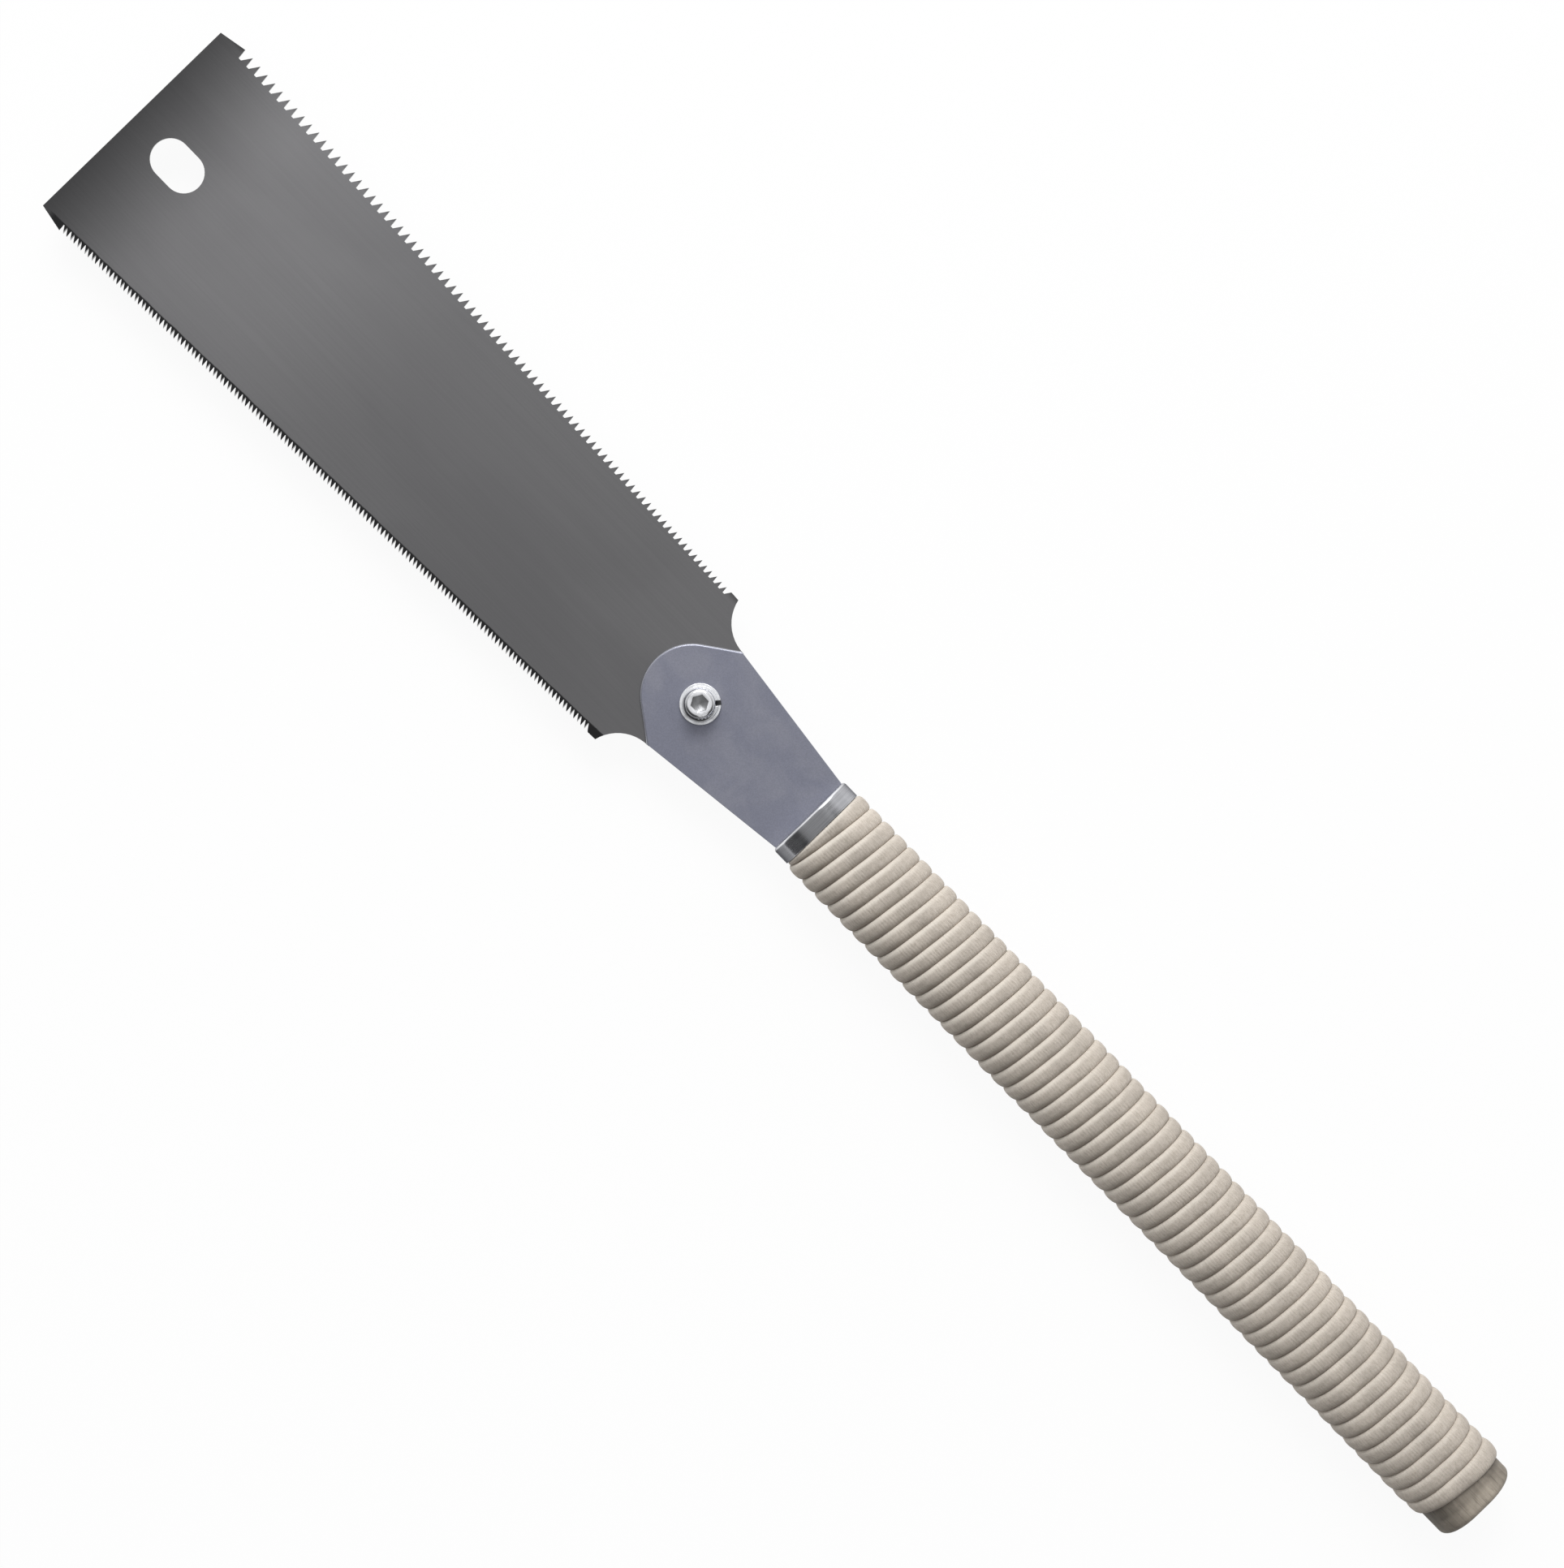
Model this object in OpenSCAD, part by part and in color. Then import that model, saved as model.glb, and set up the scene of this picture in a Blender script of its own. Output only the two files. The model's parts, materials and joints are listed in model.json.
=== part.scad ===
// Double-edged pull saw with a clamped swivel blade and a cord-wound handle.
// X runs from the toe to the butt, +Y is the rip edge and +Z is the screw's side.
// Sizes are in millimetres. Every piece is drawn round the blade's pivot, with Z = 0
// in the middle of the blade, and then set down on the lowest turns of the cord.

/* [Blade] */
// Distance from the pivot to the toe edge
toe_reach = 264.5; // [220:0.5:320]
// Thickness of the blade
blade_t = 0.5; // [0.4:0.05:1]
// Width over the tooth tips beside the toe
toe_w = 84; // [70:0.5:100]
// Width over the tooth tips at the heel
heel_w = 65; // [60:0.5:70]
// Distance from the pivot to the last tooth
heel_x = 19; // [18:0.5:26]
// Length of the plain corner between the toe and the first tooth
toe_land = 9.5; // [6:0.5:16]
// How far that corner falls in from the first tooth
toe_drop = 1.8; // [0.5:0.1:4]
// Width of the neck between the heel shoulders
neck_w = 43; // [40:0.5:46]
// How far the narrowest place of the neck lies ahead of the pivot
neck_x = 2; // [1:0.25:4]
// Radius of the hollow heel shoulders
shoulder_r = 14; // [13:0.5:16]
// Radius of the round tang end about the pivot
tang_r = 15; // [12:0.5:18]

/* [Rip teeth] */
// Pitch at the toe
rip_pitch_toe = 3.7; // [2.8:0.05:5]
// Pitch at the heel
rip_pitch_heel = 2.3; // [1.8:0.05:2.75]
// Depth as a share of the pitch
rip_depth = 0.92; // [0.5:0.01:1]
// Angle of the cutting face off square to the edge
rip_rake = 7; // [0:1:12]
// Flat floor of a gullet as a share of the pitch
rip_floor = 0.3; // [0.05:0.01:0.4]

/* [Crosscut teeth] */
// Pitch
cross_pitch = 1.6; // [1.2:0.05:2.5]
// Depth
cross_depth = 2.3; // [1.2:0.1:2.8]
// Angle of the cutting face off square to the edge
cross_rake = 5; // [0:1:12]
// Flat floor of a gullet as a share of the pitch
cross_floor = 0.13; // [0.05:0.01:0.4]
// Length of the bevel behind a tooth's point as a share of the pitch
cross_bevel = 0.3; // [0.2:0.01:0.5]
// Angle of the alternate bevels off square to the blade
cross_fleam = 25; // [0:1:50]

/* [Hanging slot] */
// Length along the saw
slot_len = 19.7; // [15:0.1:30]
// Width
slot_w = 13.5; // [8:0.1:14.5]
// Distance from the toe edge to the middle of the slot
slot_inset = 21.1; // [16:0.1:40]

/* [Head] */
// Thickness of a cheek plate
cheek_t = 1.2; // [0.8:0.1:2]
// Distance from the pivot to the tip of the nose
nose_reach = 20.8; // [19:0.1:24]
// Radius of the nose
nose_r = 17; // [14:0.5:19]
// How far the cheek's corners stand ahead of the pivot
corner_x = 3; // [1:0.25:5]
// Distance from the pivot to the ferrule
head_len = 50.3; // [44:0.1:60]
// Width of the head at the ferrule
head_rear_w = 29.8; // [26:0.1:30.8]
// Play between the blade and each cheek
blade_play = 0.05; // [0.02:0.01:0.1]
// How far the spacer's sides stand in from the cheek's edges
spacer_inset = 1; // [0.5:0.1:2]
// Clearance between the turning neck and the spacer
neck_gap = 0.9; // [0.4:0.1:2]

/* [Clamp screw] */
// Shank diameter
screw_d = 6; // [5:0.5:6.5]
// Head diameter
head_d = 10; // [9:0.1:11]
// Head height
head_h = 6; // [4:0.1:7]
// Rounding of the head's rim
head_round = 1; // [0.2:0.1:1.4]
// Hex socket across flats
key_af = 5; // [4:0.5:6]
// Hex socket depth
key_depth = 3; // [2:0.1:3.5]
// Bevel on the end of the screw and the rims of the nut
screw_bevel = 0.6; // [0.2:0.1:1]
// Flat washer diameter
washer_d = 13.6; // [12.5:0.1:16]
// Flat washer thickness
washer_t = 1.2; // [0.8:0.1:2]
// Spring washer diameter
spring_d = 11.8; // [9.5:0.1:12.5]
// Spring washer thickness
spring_t = 1.6; // [1:0.1:2]
// Slit in the spring washer
spring_slit = 1.4; // [0.4:0.1:1.6]
// Nut across flats
nut_af = 10; // [9:0.1:13]
// Nut height
nut_h = 5; // [3:0.1:6]
// How far the screw ends past the nut
screw_end = 1; // [0.5:0.1:3]

/* [Handle] */
// Width of the wooden core
core_w = 29.7; // [27:0.1:34]
// Height of the wooden core
core_h = 23.6; // [20:0.1:27]
// Distance from the ferrule to the butt
grip_len = 304.2; // [200:0.1:360]
// Rounding of the butt edge
butt_round = 2; // [0.5:0.1:4]
// Width of the head's tang in the core
tang_w = 18; // [12:0.5:20]
// Length of the head's tang past the ferrule's front
tang_len = 110; // [80:1:140]
// Diameter of the tang pins
pin_d = 4; // [3:0.1:5]
// Distance from the ferrule's front to the first pin
pin_inset = 26; // [15:1:32]
// Distance between the pins
pin_pitch = 50; // [20:1:60]
// Visible length of the ferrule
ferrule_len = 6.3; // [4:0.1:12]
// Wall of the ferrule
ferrule_wall = 0.9; // [0.6:0.1:1.5]
// Rounding of the ferrule's front edge
ferrule_round = 1.2; // [0.4:0.1:2]

/* [Cord] */
// Width of the flat cord
cord_w = 5.35; // [4:0.05:8]
// Thickness of the cord at its crown
cord_t = 1.4; // [0.8:0.1:2.5]
// Thickness of the cord at its edges
cord_edge_t = 0.45; // [0.2:0.05:0.7]
// Width of the cord's flat crown
cord_crown_w = 2.6; // [1.5:0.1:3.5]
// Groove between one turn and the next
cord_gap = 0.48; // [0.45:0.01:0.8]
// Width at which the tapered first turn starts, on the middle line
cord_start_w = 2; // [1.2:0.1:2.4]
// How much further on the first turn lies at the rip side than at the crosscut side
cord_lean_front = 1.8; // [0:0.1:2]
// How much further on the last turn lies there
cord_lean_rear = -0.5; // [-1:0.1:1]
// Length of bare core between the end of the cord and the butt
bare_butt = 6.4; // [3:0.1:20]

/* [Fits] */
// Clearance of a turning shank in its hole, on the radius
run_fit = 0.06; // [0.02:0.01:0.1]
// Clearance of a fixed piece in its seat, on each side
seat_fit = 0.1; // [0.05:0.01:0.2]

/* [Hidden] */
$fn = 96;

// Colours as the photo shows them
blade_grey = [0.42, 0.42, 0.43];
head_grey = [0.49, 0.5, 0.56];
bright_zinc = [0.8, 0.81, 0.83];
ferrule_steel = [0.75, 0.76, 0.8];
core_brown = [0.56, 0.52, 0.47];
cord_beige = [0.8, 0.76, 0.7];

// Cutting tools reach this far past the faces that they cut
over = 1;

// Heights over the middle of the blade
cheek_in = blade_t / 2 + blade_play;
cheek_out = cheek_in + cheek_t;
spring_z = cheek_out + washer_t;
head_z = spring_z + spring_t;
head_top = head_z + head_h;
nut_z = -cheek_out - nut_h;
screw_z = nut_z - screw_end;

// Lengths along the saw
ferrule_end = head_len + ferrule_len;
butt_x = ferrule_end + grip_len;
mid_x = (butt_x - toe_reach) / 2;
tang_end = head_len + tang_len;

// The handle's oval is two half circles this far from the middle, joined by flats
oval_r = core_h / 2;
oval_y = (core_w - core_h) / 2;

// The cord is a chain of straight runs round that oval, with whole runs on the flats
arc_runs = 6;
run_deg = 180 / arc_runs;
cord_r = (oval_r + seat_fit) / cos(run_deg / 2);
rest_h = cord_r + cord_t;

module place() {
    translate([-mid_x, 0, rest_h]) children();
}

// Point where the line from p touches the circle of radius r about c, on the side of turn
function tangent_point(p, c, r, turn) =
    let (d = p - c)
    let (a = atan2(d.y, d.x) + turn * acos(r / norm(d)))
    c + r * [cos(a), sin(a)];

function flip(points) = [for (i = [len(points) - 1:-1:0]) [points[i].x, -points[i].y]];

// Tooth rows, from the first tooth at the toe to the last at the heel
row_start = toe_land - toe_reach;
row_len = -heel_x - row_start;
tip_slope = (heel_w - toe_w) / 2 / row_len;
function tip_y(x) = toe_w / 2 + (x - row_start) * tip_slope;

// Rip teeth: the pitch changes evenly from the toe to the heel, and the depth with it
rip_mean = (rip_pitch_toe + rip_pitch_heel) / 2;
rip_count = round(row_len / rip_mean);
function rip_travel(i) = rip_pitch_toe * i + (rip_pitch_heel - rip_pitch_toe) * i * i / (2 * rip_count);
function rip_x(i) = row_start + row_len * rip_travel(i) / (rip_mean * rip_count);
function rip_tooth(i) =
    let (tip = rip_x(i))
    let (pitch = rip_x(i + 1) - tip)
    let (depth = rip_depth * pitch)
    let (foot = tip + depth * tan(rip_rake))
    let (floor_y = tip_y(tip) - depth)
    [[tip, tip_y(tip)], [foot, floor_y], [foot + rip_floor * pitch, floor_y]];
rip_edge = [for (i = [0:rip_count - 1]) each rip_tooth(i)];

// Crosscut teeth: filed gullets, each tilted the other way from the last. They open a little
// wider than the pitch, so that each tooth is filed to a point on one face of the blade, with
// a bevel behind the point.
cross_count = round(row_len / cross_pitch);
cross_step = row_len / cross_count;
cross_keen = 0.04;
cross_open = (cross_step + blade_t * tan(cross_fleam)) * cos(cross_fleam) + cross_keen;

module cross_gullet(i) {
    x = row_start + (i + 0.5) * cross_step;
    tilt = i % 2 == 0 ? cross_fleam : -cross_fleam;
    reach = 1 + over / cross_depth;
    front = [-cross_open / 2, 0];
    back = [cross_open / 2, 0];
    front_foot = front + cross_depth * [-tan(cross_rake) * cos(cross_fleam), 1];
    back_foot = front_foot + [cross_floor * cross_step, 0];
    front_out = front_foot + reach * (front - front_foot);
    back_out = back + over * [1, -1];
    bevel_end = back - cross_bevel * cross_step * [1, -1];
    translate([x, -tip_y(x), 0]) rotate([0, tilt, 0]) linear_extrude(blade_t + 4 * over, center = true)
        polygon([front_foot, front_out, back_out, bevel_end, back_foot]);
}

neck_corner = [-neck_x, neck_w / 2];
blade_side = [neck_corner, tangent_point(neck_corner, [0, 0], tang_r, -1)];
blade_heel = [[-heel_x, heel_w / 2], [-neck_x, tip_y(-neck_x)]];
blade_outline = concat(
    [[-toe_reach, toe_w / 2 - toe_drop]], rip_edge, blade_heel, blade_side,
    flip(concat([[-toe_reach, toe_w / 2 - toe_drop], [row_start, toe_w / 2]], blade_heel, blade_side)));

module oblong(length, width) {
    half = (length - width) / 2;
    for (x = [-half, half]) translate([x, 0]) circle(d = width);
    square([2 * half, width], center = true);
}

// Everything that is cut through the blade in plan
module blade_cuts() {
    for (side = [-1, 1]) translate([-neck_x, side * (neck_w / 2 + shoulder_r)]) circle(shoulder_r);
    translate([slot_inset - toe_reach, 0]) oblong(slot_len, slot_w);
    circle(screw_d / 2 + run_fit);
}

module blade() {
    color(blade_grey) place() difference() {
        union() {
            linear_extrude(blade_t, center = true) polygon(blade_outline);
            cylinder(blade_t, r = tang_r, center = true);
        }
        linear_extrude(blade_t + 2 * over, center = true) blade_cuts();
        for (i = [0:cross_count - 1]) cross_gullet(i);
    }
}

// Half width of the head: widest at the cheek's corners, narrowest at the ferrule
function head_half(x) = neck_w / 2 + (x + corner_x) * (head_rear_w - neck_w) / 2 / (head_len + corner_x);

nose_mid = [nose_r - nose_reach, 0];
cheek_corner = [-corner_x, neck_w / 2];

// The tang that goes into the core ends in a half circle
tang_mid = tang_end - tang_w / 2;
tang_side = [[head_len, tang_w / 2], [tang_mid, tang_w / 2]];
nose_end = tangent_point(cheek_corner, nose_mid, nose_r, 1);
cheek_side = concat([nose_end, cheek_corner, [head_len, head_rear_w / 2]], tang_side);
spacer_side = concat(
    [[0, head_half(0) - spacer_inset], [head_len, head_rear_w / 2 - spacer_inset]], tang_side);

// Flat plate of the head: the half outline given, both ways, and the round end of its tang
module head_plate(side, thickness) {
    linear_extrude(thickness) polygon(concat(side, flip(side)));
    translate([tang_mid, 0, 0]) cylinder(thickness, d = tang_w);
}

module pin_places() {
    for (x = [pin_inset, pin_inset + pin_pitch]) translate([head_len + x, 0, 0]) children();
}

module pin_holes(reach) {
    pin_places() cylinder(2 * reach, d = pin_d + seat_fit, center = true);
}

module cheek() {
    difference() {
        union() {
            head_plate(cheek_side, cheek_t);
            translate(nose_mid) cylinder(cheek_t, r = nose_r);
        }
        translate([0, 0, -over]) cylinder(cheek_t + 2 * over, d = screw_d + 2 * seat_fit);
        pin_holes(cheek_t + over);
    }
}

module front_cheek() {
    color(head_grey) place() translate([0, 0, cheek_in]) cheek();
}

module rear_cheek() {
    color(head_grey) place() translate([0, 0, -cheek_out]) cheek();
}

module tang_spacer() {
    color(head_grey) place() difference() {
        translate([0, 0, -cheek_in]) head_plate(spacer_side, 2 * cheek_in);
        cylinder(2 * cheek_out, r = norm(neck_corner) + neck_gap, center = true);
        pin_holes(cheek_out);
    }
}

function hex_corner(across) = across / 2 / cos(30);

// Hex prism with both rims turned off at a bevel
module hex_bar(across, height, bevel) {
    corner = hex_corner(across);
    intersection() {
        cylinder(height, r = corner, $fn = 6);
        rotate_extrude() polygon([[0, 0], [corner - bevel, 0], [corner, bevel],
                                  [corner, height - bevel], [corner - bevel, height], [0, height]]);
    }
}

// Half profile of a bar with its outer edge rounded at the length 0
module rounded_bar(radius, length, round) {
    translate([0, round]) square([radius, length - round]);
    square([radius - round, length]);
    translate([radius - round, round]) circle(round);
}

module clamp_screw() {
    shank = screw_d / 2;
    color(bright_zinc) place() difference() {
        union() {
            rotate_extrude() polygon([[0, screw_z], [shank - screw_bevel, screw_z],
                                      [shank, screw_z + screw_bevel], [shank, head_top], [0, head_top]]);
            rotate_extrude() translate([0, head_top]) mirror([0, 1])
                rounded_bar(head_d / 2, head_h, head_round);
        }
        translate([0, 0, head_top - key_depth]) cylinder(key_depth + over, r = hex_corner(key_af), $fn = 6);
    }
}

module washer(outer_d, thickness) {
    linear_extrude(thickness) difference() {
        circle(d = outer_d);
        circle(screw_d / 2 + seat_fit);
    }
}

module spring_washer() {
    slit_turn = 50;
    slit_lean = 20;
    color(bright_zinc) place() translate([0, 0, spring_z]) difference() {
        washer(spring_d, spring_t);
        rotate(slit_turn) translate([spring_d / 2, 0, spring_t / 2]) rotate([slit_lean, 0, 0])
            cube([spring_d, spring_slit, 3 * spring_t], center = true);
    }
}

module flat_washer() {
    color(bright_zinc) place() translate([0, 0, cheek_out]) washer(washer_d, washer_t);
}

module clamp_nut() {
    color(bright_zinc) place() translate([0, 0, nut_z]) difference() {
        hex_bar(nut_af, nut_h, screw_bevel);
        translate([0, 0, -over]) cylinder(nut_h + 2 * over, r = screw_d / 2 + run_fit);
    }
}

// Solid of the handle's oval: the half profile given, in radius and length, carried round it.
// The length runs along +X from the start.
module oval_solid(start) {
    translate([start, 0, 0]) rotate([0, 90, 0]) {
        for (side = [-1, 1]) translate([0, side * oval_y, 0]) rotate_extrude() children();
        rotate([90, 0, 0]) linear_extrude(2 * oval_y, center = true) {
            children();
            mirror([1, 0]) children();
        }
    }
}

// Room for the tang from the start to its round end, with clearance all round
module tang_room(start) {
    half = tang_w / 2 + seat_fit;
    linear_extrude(2 * (cheek_out + seat_fit), center = true) {
        translate([start, -half]) square([tang_mid - start, 2 * half]);
        translate([tang_mid, 0]) circle(half);
    }
}

module ferrule() {
    inner = oval_r + seat_fit;
    color(ferrule_steel) place() difference() {
        oval_solid(head_len) rounded_bar(inner + ferrule_wall, ferrule_len, ferrule_round);
        oval_solid(head_len + ferrule_wall) square([inner, ferrule_len]);
        tang_room(head_len - over);
    }
}

module handle_core() {
    front = head_len + ferrule_wall + seat_fit;
    length = butt_x - front;
    color(core_brown) place() difference() {
        oval_solid(front) translate([0, length]) mirror([0, 1]) rounded_bar(oval_r, length, butt_round);
        tang_room(head_len);
        pin_holes(core_h);
    }
}

module tang_pins() {
    length = core_h - 2 * seat_fit;
    color(head_grey) place() pin_places() cylinder(length, d = pin_d, center = true);
}

// Stations of one turn, as [angle from +Y, side of the oval]. They start at -Y and go over the top.
stations = concat(
    [for (i = [0:arc_runs / 2]) [180 - i * run_deg, -1]],
    [for (i = [0:arc_runs]) [90 - i * run_deg, 1]],
    [for (i = [0:arc_runs / 2 - 1]) [-90 - i * run_deg, -1]]);
ring_count = len(stations);

// The cord's section, as [share of the width, height]
crown = (1 - cord_crown_w / cord_w) / 2;
section = [[0, 0], [1, 0], [1, cord_edge_t], [1 - crown, cord_t], [crown, cord_t], [0, cord_edge_t]];
sides = len(section);

// The first turn is cut to a taper beside the ferrule, and the last turn ends square below.
// The turns lean over the handle, and the lean changes evenly from the first to the last.
cord_pitch = cord_w + cord_gap;
cord_x0 = ferrule_end + seat_fit;
cord_run = grip_len - bare_butt - seat_fit - cord_start_w;
last_ring = floor(cord_run / cord_pitch * ring_count);
function cord_lean(k) = cord_lean_front + (cord_lean_rear - cord_lean_front) * k / last_ring;
function cord_ring(k) =
    let (station = stations[k % ring_count])
    let (side = (station[1] * oval_y + cord_r * cos(station[0])) / core_w)
    let (right = cord_x0 + cord_start_w + k * cord_pitch / ring_count + cord_lean(k) * side)
    let (left = max(right - cord_w, cord_x0))
    [for (s = section)
        let (r = cord_r + s[1])
        [left + s[0] * (right - left), station[1] * oval_y + r * cos(station[0]), r * sin(station[0])]];
cord_rings = [for (k = [0:last_ring]) cord_ring(k)];

// Least distance between the points of one turn and those of the next
function ring_gap(a, b) = min([for (p = a) min([for (q = b) norm(p - q)])]);
cord_gaps = [for (k = [0:last_ring - ring_count]) ring_gap(cord_rings[k], cord_rings[k + ring_count])];

module cord_wrap() {
    echo(str("cord: ", last_ring / ring_count, " turns, least gap to itself ", min(cord_gaps), " mm"));
    last = last_ring * sides;
    walls = [for (k = [0:last_ring - 1]) for (s = [0:sides - 1])
        let (a = k * sides + s)
        let (b = k * sides + (s + 1) % sides)
        each [[a, b, b + sides], [a, b + sides, a + sides]]];
    ends = [for (s = [1:sides - 2]) each [[0, s + 1, s], [last, last + s, last + s + 1]]];
    color(cord_beige) place() polyhedron([for (ring = cord_rings) each ring], concat(walls, ends));
}

blade();
front_cheek();
rear_cheek();
tang_spacer();
clamp_screw();
spring_washer();
flat_washer();
clamp_nut();
ferrule();
handle_core();
tang_pins();
cord_wrap();
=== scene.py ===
"""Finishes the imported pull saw: satin blade, steel head, zinc screw, oval handle wound with flat cord."""

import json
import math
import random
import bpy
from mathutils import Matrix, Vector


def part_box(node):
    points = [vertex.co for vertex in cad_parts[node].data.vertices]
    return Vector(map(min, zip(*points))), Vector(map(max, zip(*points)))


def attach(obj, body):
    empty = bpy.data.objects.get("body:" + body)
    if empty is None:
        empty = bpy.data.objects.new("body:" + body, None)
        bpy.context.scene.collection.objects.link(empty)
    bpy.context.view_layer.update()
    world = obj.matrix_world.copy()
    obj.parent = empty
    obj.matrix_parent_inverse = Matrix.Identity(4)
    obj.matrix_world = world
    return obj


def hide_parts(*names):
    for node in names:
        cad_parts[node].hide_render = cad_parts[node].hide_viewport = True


bl_info = {
    "name": "Pull Saw Finish",
    "version": (1, 0, 0),
    "blender": (4, 5, 0),
    "location": "View3D > Sidebar > Pull Saw",
    "description": "Models and finishes the pieces of a double-edge pull saw round its packed solids",
    "category": "Object",
}

import bmesh
import bpy
from bpy.props import FloatProperty, FloatVectorProperty, IntProperty, PointerProperty
from bpy.types import Operator, Panel, PropertyGroup
from mathutils import Vector

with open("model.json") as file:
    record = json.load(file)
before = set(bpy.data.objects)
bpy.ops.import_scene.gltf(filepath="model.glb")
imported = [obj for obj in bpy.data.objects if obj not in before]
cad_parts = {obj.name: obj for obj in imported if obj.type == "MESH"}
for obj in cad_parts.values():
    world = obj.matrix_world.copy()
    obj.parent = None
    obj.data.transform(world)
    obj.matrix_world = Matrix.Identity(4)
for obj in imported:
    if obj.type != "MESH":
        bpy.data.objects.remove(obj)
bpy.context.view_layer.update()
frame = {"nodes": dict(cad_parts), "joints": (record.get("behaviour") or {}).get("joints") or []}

MM = 0.001
MERGE = 1e-6
LEVEL = 0.01 * MM
FLAT = math.radians(0.2)
SHARP = math.radians(35)
SMOOTH = math.radians(30)

# Places that the solids give
SWIVEL = next(joint for joint in frame["joints"] if joint["name"] == "blade_swivel")
PIVOT = Vector(SWIVEL["pos_m"])
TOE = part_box("blade")[0]
CORE_LOW, CORE_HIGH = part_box("handle_core")
WRAP_LOW, WRAP_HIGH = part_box("cord_wrap")
SCREW_LOW, SCREW_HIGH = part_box("clamp_screw")
HEAD_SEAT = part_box("spring_washer")[1].z


def length(name, description, default):
    """A size in metres."""
    return FloatProperty(
        name=name, description=description, default=default, unit="LENGTH", min=-1.0, precision=5,
    )


def angle(name, description, degrees):
    """A turn, given in degrees."""
    return FloatProperty(name=name, description=description, default=math.radians(degrees), subtype="ANGLE")


def share(name, description, default):
    """A part of a whole."""
    return FloatProperty(
        name=name, description=description, default=default, subtype="FACTOR", min=0.0, max=1.0,
    )


def power(name, description, watts):
    """The power of a lamp."""
    return FloatProperty(name=name, description=description, default=watts, unit="POWER", min=0.0)


def colour(name, description, default):
    """A colour, linear."""
    return FloatVectorProperty(
        name=name, description=description, default=default, subtype="COLOR", min=0.0, max=1.0,
    )


class BladeProps(PropertyGroup):
    """Finish of the blade"""

    steel: colour("Steel", "Colour of the blade's faces", (0.152, 0.151, 0.155))
    smudge: colour("Smudge", "Colour of the darker clouds on the faces", (0.135, 0.134, 0.138))
    hardened: colour("Hardened", "Colour of the hardened crosscut edge", (0.024, 0.024, 0.025))
    ground: colour("Ground", "Colour of freshly filed tooth faces", (0.42, 0.42, 0.42))
    toe_half: length("Toe half width", "Half width over the tips beside the toe", 42.0 * MM)
    heel_half: length("Heel half width", "Half width over the tips at the heel", 32.5 * MM)
    land: length("Land", "Plain length between the toe and the first tooth", 9.5 * MM)
    heel_reach: length("Heel reach", "From the last tooth to the pivot", 19.0 * MM)
    hard_width: length("Hardened width", "Width of the hardened edge", 2.8 * MM)


class HeadProps(PropertyGroup):
    """Finish of the head plates"""

    paint: colour("Grey", "Colour of the head plates", (0.215, 0.223, 0.278))
    worn: colour("Worn grey", "Colour of the paler clouds", (0.25, 0.256, 0.308))
    # Paler grey of the rounded edges: a painted highlight
    painted_highlight: colour("Rubbed grey", "Colour of the rubbed edges", (0.52, 0.53, 0.58))
    rim: length("Rim", "Rounding of the noses' outer edges", 0.85 * MM)
    corner: length("Corner", "How far the noses' corners stand ahead of the pivot", 2.9 * MM)
    hole: length("Hole", "Reach about the pivot in which no rim is rounded", 10.0 * MM)
    edge: length("Broken edge", "Rounding of the plates' other edges", 0.15 * MM)


class ScrewProps(PropertyGroup):
    """Sizes and finish of the clamp screw, its washers and its nut"""

    zinc: colour("Zinc", "Colour of the bright plating", (0.86, 0.87, 0.9))
    dull: colour("Dull zinc", "Colour where the plating is dull", (0.7, 0.71, 0.73))
    head_round: length("Head rounding", "Rounding of the head's rim", 1.4 * MM)
    foot_round: length("Foot rounding", "Rounding of the head's lower edge", 0.3 * MM)
    # Near-black of the painted shade in the socket and the slit and of the painted shadow on the washers
    soil_and_shade: colour("Soil", "Colour of the dirt in the slit and the socket", (0.012, 0.012, 0.012))
    slit_turn: angle("Slit's turn", "Direction of the spring washer's slit", 50.0)
    slit: length("Slit", "Width of the spring washer's slit", 1.4 * MM)
    flutes: IntProperty(name="Flutes", description="Grooves of the knurl round the head", default=28, min=8)
    flute_depth: length("Flute depth", "Depth of the knurl's grooves", 0.14 * MM)
    flute_slope: length("Flute slope", "Width of the slope beside each groove", 0.06 * MM)
    key_flats: length("Key flats", "Width of the hex socket across its flats", 5.0 * MM)
    key_depth: length("Key depth", "Depth of the hex socket", 3.0 * MM)
    key_edge: length("Key edge", "Rounding of the hex socket's mouth", 0.18 * MM)
    drill_depth: length("Drill depth", "Depth of the drilled cone below the hex socket", 0.9 * MM)
    drill_tip: share("Drill tip", "Width of the cone's tip, as a share of its mouth", 0.08)
    thread_d: length("Thread diameter", "Outer diameter of the thread", 6.0 * MM)
    thread_depth: length("Thread depth", "Depth of the thread", 0.61 * MM)
    pitch: length("Pitch", "Rise of the thread in a turn", 1.0 * MM)
    lead: length("Lead", "How far below the rod's foot the thread starts", 1.07 * MM)
    bite: length("Bite", "How far the rod reaches into the head", 0.6 * MM)
    edge: length("Broken edge", "Rounding of the washers' and the nut's edges", 0.18 * MM)


class FerruleProps(PropertyGroup):
    """Finish of the ferrule"""

    steel: colour("Steel", "Colour of the polished ferrule", (0.5, 0.505, 0.53))
    # Near-white of the front rim: a painted highlight
    bright: colour("Bright", "Colour of the rubbed front rim", (0.95, 0.955, 0.98))
    grazing: colour("Grazing", "Tint of the steel seen edge-on", (0.3, 0.3, 0.31))
    edge: length("Broken edge", "Rounding of the rear edges", 0.2 * MM)


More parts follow.
